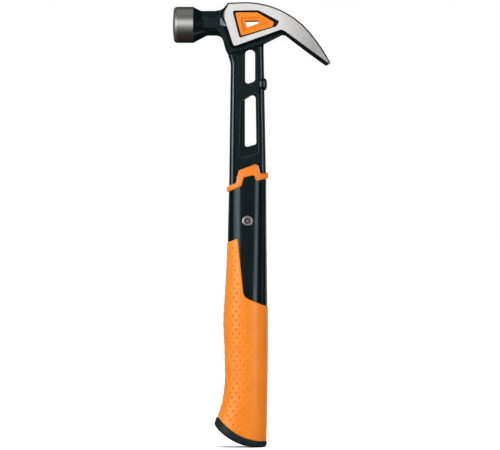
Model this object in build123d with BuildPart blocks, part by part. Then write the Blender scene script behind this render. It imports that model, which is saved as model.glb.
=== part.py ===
from build123d import *
import math
import os

# Claw hammer with a one-piece forged steel head and shank, held in a two-layer handle.
#
# Millimetres. +Z runs up the handle to the head, -X is the striking side, +X is the claw side, and Y is the
# thickness, with Y = 0 the mirror plane. The origin is under the middle of the hammer, at its lowest point.
# Side outlines are drawn in the XZ plane, so their points read (X, Z).

HAMMER_HEIGHT = 343.0

# ---- Head: poll and neck --------------------------------------------------------------------------------
FACE_X = -60.8  # middle of the crowned striking face
POLL_RADIUS = 14.0
POLL_AXIS_Z = 326.0
POLL_BACK_X = -45.0  # where the bare cylinder meets the painted cone
FACE_CROWN = 0.7
FACE_ROUND = 2.6
CONE_SLOPE = 0.53
CONE_SMALL_RADIUS = 7.0
NECK_HALF = 9.4  # half the distance between opposite flats of the eight-sided neck
NECK_AXIS_Z = 327.2
NECK_START_X = -44.0
NECK_END_X = -19.0

# ---- Head: cheek and claw -------------------------------------------------------------------------------
CHEEK_HALF = 12.0  # ground side faces, which run unbroken from cheek to claw tip
BASE_HALF = 9.4  # painted edge under the ground face's bevel
CROWN_TOP = (-5.0, 343.0)
CROWN_MIDDLE = (44.0, 320.8)
CLAW_TIP = (60.7, 296.4)
CLAW_UNDER_TIP = (57.6, 294.7)
CLAW_UNDER_MIDDLE = (41.0, 306.7)
CLAW_UNDER_ROOT = (26.4, 318.0)
CROTCH = (23.6, 318.4)
FLARE_TOP = (-18.2, 342.5)
FLARE_START_X = -27.0
FLARE_OVERRUN = 1.0
# Rings from neck to cheek: X, half width, shoulder, and the heights of bottom, side bottom, side top and top.
FLARE_RINGS = [
    (-19.0, 12.6, 8.0, (305.0, 316.0, 341.5, 347.0)),
    (-12.0, 13.4, 10.0, (290.0, 300.0, 346.0, 351.0)),
    (70.0, 14.0, 12.0, (280.0, 285.0, 352.0, 356.0)),
]
# Rings of the facet that leads from the neck's side up to the ground face: X, half width, and heights.
SHOULDER_RINGS = [(-24.6, 9.2, (325.6, 330.2)), (-18.6, 11.95, (324.0, 332.6))]
THROAT_MIDDLE = (-21.2, 310.9)
THROAT_START = (-16.1, 293.0)  # where the shank's front edge begins to curve into the throat
THROAT_END = (-18.1, 302.0)
BASE_BACK = [(9.6, 311.3), (9.4, 309.6)]
BASE_LEDGE = 1.6  # bevel from the base down to the shank's side
GROUND_CORNERS = [
    (-11.5, 352.0),
    (-21.9, 333.6),
    (-13.7, 308.9),
    (23.6, 322.2),
    (66.0, 291.0),
    (80.0, 300.0),
    (80.0, 352.0),
]
GROUND_ROUND = [0.0, 6.0, 2.2, 5.0, 0.0, 0.0, 0.0]
RIM_WIDTH = 1.1  # dark bevel between the ground face and the top of the head

# ---- Head: claw notch -----------------------------------------------------------------------------------
NOTCH_ROOT_X = 27.0
NOTCH_ROOT_HALF = 1.2
NOTCH_BASE_Z = 290.0
NOTCH_MOUTH_X = 64.0
NOTCH_MOUTH_HALF = 5.4
NOTCH_BEVEL = 1.0

# ---- Cheek window and its insert ------------------------------------------------------------------------
WINDOW_CORNERS = [(-14.8, 336.4), (5.0, 336.7), (21.6, 328.2), (19.2, 324.3), (-9.3, 315.3)]
WINDOW_ROUND = 1.4
INSERT_CORNERS = [(-12.7, 335.0), (4.2, 335.0), (17.3, 327.4), (16.2, 324.2), (-8.1, 317.0)]
INSERT_ROUND = 1.2
WINDOW_BEVEL_DEPTH = 1.2
INSERT_RECESS = 0.4
POCKET_CORNERS = [(-7.6, 330.3), (6.0, 330.5), (12.6, 327.7), (-5.4, 321.3)]
POCKET_ROUND = 0.8
POCKET_DEPTH = 1.6
POCKET_TAPER = 35.0
EYE_CORNERS = [(-4.9, 328.6), (5.3, 328.9), (5.3, 326.6), (-3.6, 323.5)]
EYE_ROUND = 0.4

# ---- Shank ----------------------------------------------------------------------------------------------
SHANK_HALF = 7.5
SHANK_EDGE_ROUND = 3.2
SHANK_TOP = (9.4, 313.0)
SHANK_BACK = (9.4, 305.0)
SHANK_FOOT_BACK = (11.4, 195.0)
SHANK_FOOT_FRONT = (-17.4, 195.0)
WEB_DEPTH = 1.2  # how far the web lies below the beads that run down both edges
WEB_TAPER = 40.0
WEB_CORNERS = [(-12.4, 301.5), (4.8, 307.6), (6.6, 219.5), (-13.4, 208.0)]
UPPER_SLOT_CORNERS = [(-4.9, 305.7), (2.7, 308.5), (2.7, 282.3), (-4.9, 279.5)]
UPPER_SLOT_ROUND = [3.1, 3.6, 2.6, 2.2]
LOWER_SLOT_CORNERS = [(-5.1, 268.6), (3.1, 273.3), (3.7, 233.7), (-5.1, 231.2)]
LOWER_SLOT_ROUND = [1.3, 2.4, 2.2, 1.7]
RECESS_CORNERS = [(-8.2, 266.4), (4.6, 274.6), (5.4, 227.0), (-9.5, 222.7)]
RECESS_ROUND = 2.0
RECESS_DEPTH = 2.2
RECESS_EDGE = 0.6  # bevel round the recess's mouth
RECESS_EDGE_SLOPE = 45.0
COLLAR_LOW = (5.0, 275.2)
COLLAR_HIGH = (11.9, 284.8)
COLLAR_HALF = 8.3
COLLAR_ROUND = 3.0

# ---- Tang, bushings and bolt ----------------------------------------------------------------------------
TANG_X = -3.2  # middle of the tang, and of everything wrapped around it
TANG_HALF_WIDTH = 8.0
TANG_HALF = 3.0
TANG_TOP_Z = 224.0
TANG_END_Z = 62.0
TANG_ROUND = 1.0
BOLT_Z = 174.5
PIN_Z = 92.0
BUSHING_RADIUS = 5.4
BOLT_RADIUS = 3.0
BOLT_CORE_RADIUS = 2.0  # the screw's threaded end in its sleeve nut
BOLT_HEAD_RADIUS = 4.35
BOLT_HEAD_HEIGHT = 1.7
BOLT_HEAD_ROUND = 1.0
BOLT_SOCKET_RADIUS = 2.3
BOLT_SOCKET_DEPTH = 1.5
BOLT_SEAT = 9.2  # the heads bear on the shell this far from the mirror plane
BOLT_JOINT_Y = 2.0  # where the sleeve nut's mouth meets the screw's shoulder
BOLT_THREAD_END_Y = -5.0
SOCKET_PIP_RADIUS = 0.9
SOCKET_PIP_DEPTH = 0.5
HEAD_POCKET_RADIUS = 4.5
PIN_RADIUS = 2.0
PIN_HALF_LENGTH = 9.0
PIN_BUSHING_RADIUS = 3.8

# ---- Layers of the handle -------------------------------------------------------------------------------
SLEEVE_HALF_WIDTH = 9.8
SLEEVE_HALF = 4.8
SLEEVE_ROUND = 2.4
CUSHION_END_Z = 54.0
CAVITY_HALF_WIDTH = 11.0
CAVITY_HALF = 7.0
CAVITY_ROUND = 6.0
CORE_TOP_Z = 196.0
GRIP_THICKNESS = 2.4
SHELL_INSET = 0.4  # the grip stands this much proud of the shell
LIP = 0.3  # the end cap's edge stands this much proud of the grip

# Height, front edge, back edge, half thickness and sharpness of the handle's section.
HANDLE_STATIONS = [
    (-6.0, -34.0, 11.2, 12.6, 8.0),
    (8.0, -31.6, 11.7, 12.9, 8.0),
    (20.0, -27.9, 12.0, 13.1, 8.0),
    (32.0, -23.6, 12.2, 13.2, 8.0),
    (48.0, -21.0, 12.5, 13.4, 8.0),
    (72.0, -21.0, 12.7, 13.9, 8.0),
    (98.0, -21.8, 12.7, 14.2, 8.0),
    (120.0, -20.6, 12.5, 13.4, 8.5),
    (145.0, -19.2, 12.2, 11.9, 9.5),
    (175.0, -18.5, 11.9, 10.6, 10.5),
    (205.0, -17.8, 11.8, 9.6, 11.0),
    (230.0, -17.4, 11.6, 9.0, 11.0),
]
# The section's flats, each by the direction that it faces: front and back, sides, and two sloping shoulders.
SECTION_FACETS = [(1.0, 0.0), (0.0, 1.0), (0.55, 0.77), (0.89, 0.36)]
SECTION_POINTS = 48

# Stepped joint between shank and handle: the band's upper and lower edges.
BAND_UPPER = [(-22.0, 200.0), (-12.6, 203.6), (-10.2, 213.6), (4.7, 218.6), (6.8, 211.1), (16.0, 212.2)]
BAND_LOWER = [(16.0, 208.1), (4.0, 205.2), (2.6, 209.8), (-6.1, 208.1), (-8.2, 201.4), (-22.0, 195.8)]
BAND_ROUND = 1.5
BAND_PROUD = 1.1  # the band stands this much proud of the grip's surface line

# Upper edge of the soft grip, and the two arcs that bound the end cap.
GRIP_TOP = [(-24.0, 155.8), (-10.9, 161.4), (-6.0, 115.9), (18.0, 106.5)]
GRIP_TOP_ROUND = [1.2, 7.0]
CAP_UPPER_CENTRE = (10.7, 50.1)
CAP_UPPER_RADIUS = 45.6
CAP_LOWER_CENTRE = (6.4, 45.1)
CAP_LOWER_RADIUS = 45.1
CAP_EDGE_ROUND = 0.5
CAP_PLUG_ROOT_Z = 6.0
PLUG_TOP_Z = 42.0

HUGE = 60.0


def side_plane(y=0.0):
    """A plane parallel to the hammer's side at depth y, facing -Y, with X across and Z up."""
    return Plane(origin=(0, y, 0), x_dir=(1, 0, 0), z_dir=(0, -1, 0))


def side_face(corners, radii, y=0.0):
    """A closed face parallel to the hammer's side, with its corners rounded."""
    with BuildSketch(side_plane(y)) as face:
        with BuildLine():
            FilletPolyline(*corners, radius=radii, close=True)
        make_face()
    return face.sketch


def upright_face(half_width, half_thickness, round_radius, z):
    """A rounded rectangle across the tang's axis at height z."""
    with BuildSketch(Plane(origin=(TANG_X, 0, z))) as face:
        RectangleRounded(2 * half_width, 2 * half_thickness, round_radius)
    return face.sketch


def cross_circle(radius, z, y=0.0):
    """A circle parallel to the hammer's side, centred on the tang at height z."""
    with BuildSketch(side_plane(y)) as face:
        with Locations((TANG_X, z)):
            Circle(radius)
    return face.sketch


# ---- Regions that divide the hammer, seen from the side --------------------------------------------------
def beyond_step(points, far_z):
    """The region between a stepped line and the height far_z."""
    with BuildSketch(Plane.XZ) as region:
        with BuildLine():
            step = FilletPolyline(*points, radius=BAND_ROUND)
            start, end = step @ 0, step @ 1
            Polyline(end, (end.X, far_z), (start.X, far_z), start)
        make_face()
    return region.sketch


def above_arc(centre, radius):
    """The region above one of the end cap's two arcs: a disc, continued upwards at its full width."""
    x, z = centre
    with BuildSketch(Plane.XZ) as region:
        with Locations((x, z)):
            Circle(radius)
        with Locations((x, z + HAMMER_HEIGHT / 2)):
            Rectangle(2 * radius, HAMMER_HEIGHT)
    return region.sketch


def grip_region():
    """The side of the soft grip, from its swept upper edge down past the end cap."""
    with BuildSketch(Plane.XZ) as region:
        with BuildLine():
            edge = FilletPolyline(*GRIP_TOP, radius=GRIP_TOP_ROUND)
            start, end = edge @ 0, edge @ 1
            Polyline(end, (end.X, -HUGE), (-HUGE, -HUGE), (-HUGE, start.Y), start)
        make_face()
    return region.sketch


# ---- Handle volume ---------------------------------------------------------------------------------------
def section_reach(angle, sharpness):
    """How far the section's outline lies from its middle, in units of half width and half thickness."""
    across, through = abs(math.cos(angle)), abs(math.sin(angle))
    total = 0.0
    for facet_across, facet_through in SECTION_FACETS:
        total += (facet_across * across + facet_through * through) ** sharpness
    return total ** (-1 / sharpness)


def handle_section(station, inset):
    """A rounded eight-sided outline across the handle, drawn inset from the outer surface."""
    z, front, back, half_thickness, sharpness = station
    middle = (front + back) / 2
    half_width = ((back - front) / 2 - inset) / section_reach(0, sharpness)
    half = (half_thickness - inset) / section_reach(math.pi / 2, sharpness)
    points = []
    for index in range(SECTION_POINTS):
        angle = 2 * math.pi * index / SECTION_POINTS
        reach = section_reach(angle, sharpness)
        points.append((middle + half_width * reach * math.cos(angle), half * reach * math.sin(angle)))
    with BuildSketch(Plane.XY.offset(z)) as section:
        with BuildLine():
            Spline(*points, periodic=True)
        make_face()
    return section.sketch


def handle_volume(inset):
    """The whole handle, run past both of its ends."""
    with BuildPart() as volume:
        loft(sections=[handle_section(station, inset) for station in HANDLE_STATIONS])
    return volume.part


# ---- Head and shank: one forging -------------------------------------------------------------------------
def poll_and_cone():
    """The striking end, turned about its own axis."""
    cone_end_x = POLL_BACK_X + (POLL_RADIUS - CONE_SMALL_RADIUS) / CONE_SLOPE
    crown_edge = (FACE_X + FACE_CROWN, POLL_AXIS_Z + POLL_RADIUS - FACE_ROUND)
    shoulder = (FACE_X + FACE_CROWN + FACE_ROUND, POLL_AXIS_Z + POLL_RADIUS)
    with BuildPart() as poll:
        with BuildSketch(Plane.XZ):
            with BuildLine():
                crown = TangentArc((FACE_X, POLL_AXIS_Z), crown_edge, tangent=(0, 1))
                TangentArc(crown_edge, shoulder, tangent=crown % 1)
                Polyline(
                    shoulder,
                    (POLL_BACK_X, POLL_AXIS_Z + POLL_RADIUS),
                    (cone_end_x, POLL_AXIS_Z + CONE_SMALL_RADIUS),
                    (cone_end_x, POLL_AXIS_Z),
                    (FACE_X, POLL_AXIS_Z),
                )
            make_face()
        revolve(axis=Axis((0, 0, POLL_AXIS_Z), (1, 0, 0)))
    return poll.part


def neck():
    """The eight-sided neck between poll and cheek."""
    with BuildPart() as bar:
        with BuildSketch(Plane.YZ.offset(NECK_START_X)):
            with Locations((0, NECK_AXIS_Z)):
                RegularPolygon(NECK_HALF, 8, major_radius=False, rotation=22.5)
        extrude(amount=NECK_END_X - NECK_START_X)
    return bar.part


def head_outline():
    """The side of cheek and claw, down to the top of the shank."""
    neck_top = (FLARE_START_X, NECK_AXIS_Z + NECK_HALF)
    neck_bottom = (FLARE_START_X, NECK_AXIS_Z - NECK_HALF)
    with BuildSketch(Plane.XZ) as outline:
        with BuildLine():
            Spline(neck_top, FLARE_TOP, tangents=[(1, 0), (0.75, 1)])
            Line(FLARE_TOP, CROWN_TOP)
            crown = TangentArc(CROWN_TOP, CROWN_MIDDLE, tangent=(1, 0))
            TangentArc(CROWN_MIDDLE, CLAW_TIP, tangent=crown % 1)
            Line(CLAW_TIP, CLAW_UNDER_TIP)
            ThreePointArc(CLAW_UNDER_TIP, CLAW_UNDER_MIDDLE, CLAW_UNDER_ROOT)
            Polyline(CLAW_UNDER_ROOT, CROTCH, *BASE_BACK, THROAT_END)
            Spline(THROAT_END, THROAT_MIDDLE, neck_bottom, tangents=[(-0.42, 0.9), (-1, 0)])
            Line(neck_bottom, neck_top)
        make_face()
    return outline.sketch


def flare_envelope():
    """The space that the head may fill where its neck widens into the cheek, with sloping shoulders."""
    flat = NECK_HALF * math.tan(math.pi / 8)
    neck_ring = (
        FLARE_START_X - FLARE_OVERRUN,
        NECK_HALF,
        flat,
        (NECK_AXIS_Z - NECK_HALF, NECK_AXIS_Z - flat, NECK_AXIS_Z + flat, NECK_AXIS_Z + NECK_HALF),
    )
    with BuildPart() as envelope:
        for x, side, shoulder, (bottom, side_bottom, side_top, top) in [neck_ring, *FLARE_RINGS]:
            right = [(shoulder, bottom), (side, side_bottom), (side, side_top), (shoulder, top)]
            left = [(-y, z) for y, z in reversed(right)]
            with BuildSketch(Plane.YZ.offset(x)):
                with BuildLine():
                    Polyline(*right, *left, close=True)
                make_face()
        loft(ruled=True)
    return envelope.part


def neck_shoulders():
    """The wedge behind the neck whose outer faces slope up to the ground faces."""
    with BuildPart() as wedge:
        for x, half_width, (low, high) in SHOULDER_RINGS:
            with BuildSketch(Plane.YZ.offset(x)):
                with Locations((0, (low + high) / 2)):
                    Rectangle(2 * half_width, high - low)
        loft(ruled=True)
    return wedge.part


def ground_slab():
    """The raised ground faces of cheek and claw, bevelled down to the painted base all round."""
    bevel = CHEEK_HALF - BASE_HALF
    with BuildPart() as slab:
        with BuildSketch(Plane.XZ):
            with BuildLine():
                FilletPolyline(*GROUND_CORNERS, radius=GROUND_ROUND, close=True)
            make_face()
            offset(amount=bevel)
        extrude(amount=CHEEK_HALF, both=True)
        chamfer(slab.faces().filter_by(Axis.Y).edges(), length=bevel)
    return slab.part


def cheek_and_claw():
    """Cheek and claw: base, ground faces, top rim bevel, bevelled nail notch, neck flare and shoulders."""
    outline = head_outline()
    with BuildPart() as top:
        extrude(outline, amount=CHEEK_HALF, both=True)
        rim = top.faces().filter_by(Axis.Y).edges().filter_by(Axis.Y, reverse=True)
        crown = rim.filter_by(GeomType.CIRCLE).filter_by(lambda edge: edge.center().Z > CLAW_UNDER_MIDDLE[1])
        chamfer(crown, length=RIM_WIDTH)
        add(ground_slab(), mode=Mode.INTERSECT)
    with BuildPart() as head:
        extrude(outline, amount=BASE_HALF, both=True)
        underside = head.faces().filter_by(lambda face: face.normal_at().Z < -0.9).sort_by(Axis.X)[0]
        ledge = underside.edges().filter_by(Axis.Y, reverse=True)
        chamfer(ledge, length=BASE_LEDGE)
        add(top.part)
        with BuildSketch(Plane.XY.offset(NOTCH_BASE_Z)):
            with BuildLine():
                Polyline(
                    (NOTCH_ROOT_X, NOTCH_ROOT_HALF),
                    (NOTCH_MOUTH_X, NOTCH_MOUTH_HALF),
                    (NOTCH_MOUTH_X, -NOTCH_MOUTH_HALF),
                    (NOTCH_ROOT_X, -NOTCH_ROOT_HALF),
                    close=True,
                )
            make_face()
        extrude(amount=HUGE, mode=Mode.SUBTRACT)
        inner_edges = head.edges().filter_by_position(Axis.Y, -NOTCH_MOUTH_HALF, NOTCH_MOUTH_HALF)
        chamfer(inner_edges.filter_by(GeomType.ELLIPSE), length=NOTCH_BEVEL)
        add(flare_envelope(), mode=Mode.INTERSECT)
        add(neck_shoulders())
    return head.part


def shank_recesses():
    """The web and the deeper recess round the lower slot, as cut into both sides of the shank."""
    web = side_face(WEB_CORNERS, RECESS_ROUND, WEB_DEPTH - SHANK_HALF)
    recess = side_face(RECESS_CORNERS, RECESS_ROUND, RECESS_DEPTH - SHANK_HALF)
    with BuildPart() as recesses:
        extrude(web, amount=2 * WEB_DEPTH, taper=-WEB_TAPER)
        extrude(recess, amount=2 * RECESS_DEPTH)
        edge = side_face(RECESS_CORNERS, RECESS_ROUND, WEB_DEPTH + RECESS_EDGE - SHANK_HALF)
        extrude(edge, amount=2 * RECESS_EDGE, taper=-RECESS_EDGE_SLOPE)
        mirror(about=Plane.XZ)
    return recesses.part


def collar():
    """The rounded block round the rear bead, at the rung between the slots."""
    width = COLLAR_HIGH[0] - COLLAR_LOW[0]
    height = COLLAR_HIGH[1] - COLLAR_LOW[1]
    with BuildPart() as block:
        with BuildSketch(Plane.XZ):
            with Locations((COLLAR_LOW[0] + width / 2, COLLAR_LOW[1] + height / 2)):
                Rectangle(width, height)
        extrude(amount=COLLAR_HALF, both=True)
        fillet(block.edges(), radius=COLLAR_ROUND)
    return block.part


def shank():
    """The shank with a bead down both edges and a lower web between them, cut off at the stepped joint."""
    with BuildPart() as bar:
        with BuildSketch(Plane.XZ):
            with BuildLine():
                TangentArc(THROAT_START, THROAT_END, tangent=(0, 1))
                Polyline(THROAT_END, SHANK_TOP, SHANK_BACK, SHANK_FOOT_BACK, SHANK_FOOT_FRONT, THROAT_START)
            make_face()
        extrude(amount=SHANK_HALF, both=True)
        long_edges = bar.edges().filter_by(lambda edge: abs(edge.tangent_at(0.5).Z) > 0.85)
        fillet(long_edges, radius=SHANK_EDGE_ROUND)
        add(shank_recesses(), mode=Mode.SUBTRACT)
        add(collar())
        extrude(beyond_step(BAND_UPPER, HAMMER_HEIGHT), amount=HUGE, both=True, mode=Mode.INTERSECT)
    return bar.part


def tang():
    """The narrow tang inside the handle, with its two cross holes."""
    with BuildPart() as bar:
        extrude(upright_face(TANG_HALF_WIDTH, TANG_HALF, TANG_ROUND, TANG_END_Z), amount=TANG_TOP_Z - TANG_END_Z)
        extrude(cross_circle(BUSHING_RADIUS, BOLT_Z), amount=HUGE, both=True, mode=Mode.SUBTRACT)
        extrude(cross_circle(PIN_BUSHING_RADIUS, PIN_Z), amount=HUGE, both=True, mode=Mode.SUBTRACT)
    return bar.part


with BuildPart() as head_and_shank:
    add(cheek_and_claw())
    add(poll_and_cone())
    add(neck())
    add(shank())
    add(tang())
    extrude(side_face(UPPER_SLOT_CORNERS, UPPER_SLOT_ROUND), amount=HUGE, both=True, mode=Mode.SUBTRACT)
    extrude(side_face(LOWER_SLOT_CORNERS, LOWER_SLOT_ROUND), amount=HUGE, both=True, mode=Mode.SUBTRACT)
    extrude(side_face(INSERT_CORNERS, INSERT_ROUND), amount=HUGE, both=True, mode=Mode.SUBTRACT)
    for side in (-1, 1):
        mouth = side_face(WINDOW_CORNERS, WINDOW_ROUND, side * CHEEK_HALF)
        throat = side_face(INSERT_CORNERS, INSERT_ROUND, side * (CHEEK_HALF - WINDOW_BEVEL_DEPTH))
        loft(sections=[mouth, throat], mode=Mode.SUBTRACT)


# ---- Cheek insert: two halves that meet in the middle of the window --------------------------------------
with BuildPart() as cheek_insert_left:
    face_y = INSERT_RECESS - CHEEK_HALF
    extrude(side_face(INSERT_CORNERS, INSERT_ROUND), amount=-face_y)
    pocket = side_face(POCKET_CORNERS, POCKET_ROUND, face_y + POCKET_DEPTH)
    extrude(pocket, amount=2 * POCKET_DEPTH, taper=-POCKET_TAPER, mode=Mode.SUBTRACT)
    extrude(side_face(EYE_CORNERS, EYE_ROUND), amount=HUGE, mode=Mode.SUBTRACT)

with BuildPart() as cheek_insert_right:
    mirror(cheek_insert_left.part, about=Plane.XZ)


# ---- Isolation sleeve: the stepped band and the tube round the tang --------------------------------------
with BuildPart() as stepped_band:
    add(handle_volume(-BAND_PROUD))
    extrude(beyond_step(BAND_LOWER, HAMMER_HEIGHT), amount=HUGE, both=True, mode=Mode.INTERSECT)

with BuildPart() as isolation_sleeve:
    tube = upright_face(SLEEVE_HALF_WIDTH, SLEEVE_HALF, SLEEVE_ROUND, TANG_END_Z)
    extrude(tube, amount=TANG_TOP_Z - TANG_END_Z)
    add(stepped_band.part)
    extrude(beyond_step(BAND_UPPER, -HUGE), amount=HUGE, both=True, mode=Mode.INTERSECT)
    bore = upright_face(TANG_HALF_WIDTH, TANG_HALF, TANG_ROUND, TANG_END_Z)
    extrude(bore, amount=TANG_TOP_Z - TANG_END_Z, mode=Mode.SUBTRACT)
    extrude(cross_circle(BUSHING_RADIUS, BOLT_Z), amount=HUGE, both=True, mode=Mode.SUBTRACT)
    extrude(cross_circle(PIN_BUSHING_RADIUS, PIN_Z), amount=HUGE, both=True, mode=Mode.SUBTRACT)

with BuildPart() as tang_end_cushion:
    block = upright_face(SLEEVE_HALF_WIDTH, SLEEVE_HALF, SLEEVE_ROUND, CUSHION_END_Z)
    extrude(block, amount=TANG_END_Z - CUSHION_END_Z)


# ---- Bushings, cross bolt and lower pin ------------------------------------------------------------------
with BuildPart() as bolt_bushing:
    extrude(cross_circle(BUSHING_RADIUS, BOLT_Z), amount=SLEEVE_HALF, both=True)
    extrude(cross_circle(BOLT_RADIUS, BOLT_Z), amount=HUGE, both=True, mode=Mode.SUBTRACT)

with BuildPart() as pin_bushing:
    extrude(cross_circle(PIN_BUSHING_RADIUS, PIN_Z), amount=SLEEVE_HALF, both=True)
    extrude(cross_circle(PIN_RADIUS, PIN_Z), amount=HUGE, both=True, mode=Mode.SUBTRACT)

with BuildPart() as lower_pin:
    extrude(cross_circle(PIN_RADIUS, PIN_Z), amount=PIN_HALF_LENGTH, both=True)


def bolt_head():
    """A low domed head on the left side, with a round socket and a pip in its middle."""
    with BuildPart() as head:
        extrude(cross_circle(BOLT_HEAD_RADIUS, BOLT_Z, -BOLT_SEAT), amount=BOLT_HEAD_HEIGHT)
        fillet(head.edges().sort_by(Axis.Y)[0], radius=BOLT_HEAD_ROUND)
        top_y = -BOLT_SEAT - BOLT_HEAD_HEIGHT
        extrude(cross_circle(BOLT_SOCKET_RADIUS, BOLT_Z, top_y), amount=-BOLT_SOCKET_DEPTH, mode=Mode.SUBTRACT)
        pip = cross_circle(SOCKET_PIP_RADIUS, BOLT_Z, top_y + BOLT_SOCKET_DEPTH)
        extrude(pip, amount=BOLT_SOCKET_DEPTH - SOCKET_PIP_DEPTH)
    return head.part


with BuildPart() as bolt_sleeve_nut:
    add(bolt_head())
    extrude(cross_circle(BOLT_RADIUS, BOLT_Z, BOLT_JOINT_Y), amount=BOLT_SEAT + BOLT_JOINT_Y)
    bore = cross_circle(BOLT_CORE_RADIUS, BOLT_Z, BOLT_JOINT_Y)
    extrude(bore, amount=BOLT_JOINT_Y - BOLT_THREAD_END_Y, mode=Mode.SUBTRACT)

with BuildPart() as bolt_screw:
    mirror(bolt_head(), about=Plane.XZ)
    extrude(cross_circle(BOLT_RADIUS, BOLT_Z, BOLT_SEAT), amount=BOLT_SEAT - BOLT_JOINT_Y)
    extrude(cross_circle(BOLT_CORE_RADIUS, BOLT_Z, BOLT_JOINT_Y), amount=BOLT_JOINT_Y - BOLT_THREAD_END_Y)


# ---- Soft grip, shell halves and core halves -------------------------------------------------------------
with BuildPart() as grip_sleeve:
    add(handle_volume(0))
    extrude(grip_region(), amount=HUGE, both=True, mode=Mode.INTERSECT)
    extrude(above_arc(CAP_UPPER_CENTRE, CAP_UPPER_RADIUS), amount=HUGE, both=True, mode=Mode.INTERSECT)
    add(handle_volume(GRIP_THICKNESS), mode=Mode.SUBTRACT)


def shell_half(keep):
    """One half of the hard shell, which fills the space between band, grip and core."""
    with BuildPart() as half:
        add(handle_volume(SHELL_INSET))
        extrude(beyond_step(BAND_LOWER, -HUGE), amount=HUGE, both=True, mode=Mode.INTERSECT)
        extrude(above_arc(CAP_UPPER_CENTRE, CAP_UPPER_RADIUS), amount=HUGE, both=True, mode=Mode.INTERSECT)
        add(grip_sleeve.part, mode=Mode.SUBTRACT)
        cavity = upright_face(CAVITY_HALF_WIDTH, CAVITY_HALF, CAVITY_ROUND, -HUGE)
        extrude(cavity, amount=HUGE + CORE_TOP_Z, mode=Mode.SUBTRACT)
        neck_of_sleeve = upright_face(SLEEVE_HALF_WIDTH, SLEEVE_HALF, SLEEVE_ROUND, TANG_END_Z)
        extrude(neck_of_sleeve, amount=TANG_TOP_Z - TANG_END_Z, mode=Mode.SUBTRACT)
        extrude(cross_circle(BOLT_RADIUS, BOLT_Z), amount=HUGE, both=True, mode=Mode.SUBTRACT)
        for side in (-1, 1):
            pocket = cross_circle(HEAD_POCKET_RADIUS, BOLT_Z, side * BOLT_SEAT)
            extrude(pocket, amount=-side * HUGE, mode=Mode.SUBTRACT)
        extrude(cross_circle(PIN_RADIUS, PIN_Z), amount=PIN_HALF_LENGTH, both=True, mode=Mode.SUBTRACT)
        split(bisect_by=Plane.XZ, keep=keep)
    return half.part


def core_half(keep):
    """One half of the light core between shell and sleeve."""
    with BuildPart() as half:
        block = upright_face(CAVITY_HALF_WIDTH, CAVITY_HALF, CAVITY_ROUND, PLUG_TOP_Z)
        extrude(block, amount=CORE_TOP_Z - PLUG_TOP_Z)
        hollow = upright_face(SLEEVE_HALF_WIDTH, SLEEVE_HALF, SLEEVE_ROUND, CUSHION_END_Z)
        extrude(hollow, amount=TANG_TOP_Z - CUSHION_END_Z, mode=Mode.SUBTRACT)
        extrude(cross_circle(BOLT_RADIUS, BOLT_Z), amount=HUGE, both=True, mode=Mode.SUBTRACT)
        extrude(cross_circle(PIN_RADIUS, PIN_Z), amount=HUGE, both=True, mode=Mode.SUBTRACT)
        split(bisect_by=Plane.XZ, keep=keep)
    return half.part


with BuildPart() as shell_left:
    add(shell_half(Keep.TOP))

with BuildPart() as shell_right:
    add(shell_half(Keep.BOTTOM))

with BuildPart() as core_left:
    add(core_half(Keep.TOP))

with BuildPart() as core_right:
    add(core_half(Keep.BOTTOM))


# ---- End cap ---------------------------------------------------------------------------------------------
with BuildPart() as end_cap:
    add(handle_volume(-LIP))
    extrude(above_arc(CAP_LOWER_CENTRE, CAP_LOWER_RADIUS), amount=HUGE, both=True, mode=Mode.INTERSECT)
    extrude(above_arc(CAP_UPPER_CENTRE, CAP_UPPER_RADIUS), amount=HUGE, both=True, mode=Mode.SUBTRACT)
    fillet(end_cap.faces().sort_by(Axis.Z)[0].outer_wire().edges(), radius=CAP_EDGE_ROUND)
    plug = upright_face(CAVITY_HALF_WIDTH, CAVITY_HALF, CAVITY_ROUND, CAP_PLUG_ROOT_Z)
    extrude(plug, amount=PLUG_TOP_Z - CAP_PLUG_ROOT_Z)


pieces = {
    "head_and_shank": head_and_shank,
    "cheek_insert_left": cheek_insert_left,
    "cheek_insert_right": cheek_insert_right,
    "isolation_sleeve": isolation_sleeve,
    "tang_end_cushion": tang_end_cushion,
    "bolt_bushing": bolt_bushing,
    "pin_bushing": pin_bushing,
    "lower_pin": lower_pin,
    "bolt_sleeve_nut": bolt_sleeve_nut,
    "bolt_screw": bolt_screw,
    "grip_sleeve": grip_sleeve,
    "shell_left": shell_left,
    "shell_right": shell_right,
    "core_left": core_left,
    "core_right": core_right,
    "end_cap": end_cap,
}
os.makedirs("parts", exist_ok=True)
for name, piece in pieces.items():
    piece.part.label = name
    export_step(piece.part, f"parts/{name}.step")
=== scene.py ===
import bpy
import math
import numpy as np
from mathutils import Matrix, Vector


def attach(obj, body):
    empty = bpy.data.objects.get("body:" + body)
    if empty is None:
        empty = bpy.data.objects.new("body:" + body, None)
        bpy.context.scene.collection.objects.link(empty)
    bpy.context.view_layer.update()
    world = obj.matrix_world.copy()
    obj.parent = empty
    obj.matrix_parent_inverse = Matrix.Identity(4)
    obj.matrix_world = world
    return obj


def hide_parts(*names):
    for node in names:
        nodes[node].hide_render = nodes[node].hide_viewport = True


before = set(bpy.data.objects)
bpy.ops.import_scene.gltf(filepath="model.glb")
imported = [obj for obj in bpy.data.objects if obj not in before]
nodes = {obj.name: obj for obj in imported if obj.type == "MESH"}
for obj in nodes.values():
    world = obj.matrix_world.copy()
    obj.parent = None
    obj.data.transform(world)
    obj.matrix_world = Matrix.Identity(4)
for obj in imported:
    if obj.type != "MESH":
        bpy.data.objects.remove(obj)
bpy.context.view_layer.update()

# Looks of the claw hammer. Shapes are worked out in millimetres and turned into metres when a mesh is made.
# +Z runs up the handle, -X is the striking side, +X is the claw side, and Y = 0 is the mirror plane.
MM = 0.001

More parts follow.
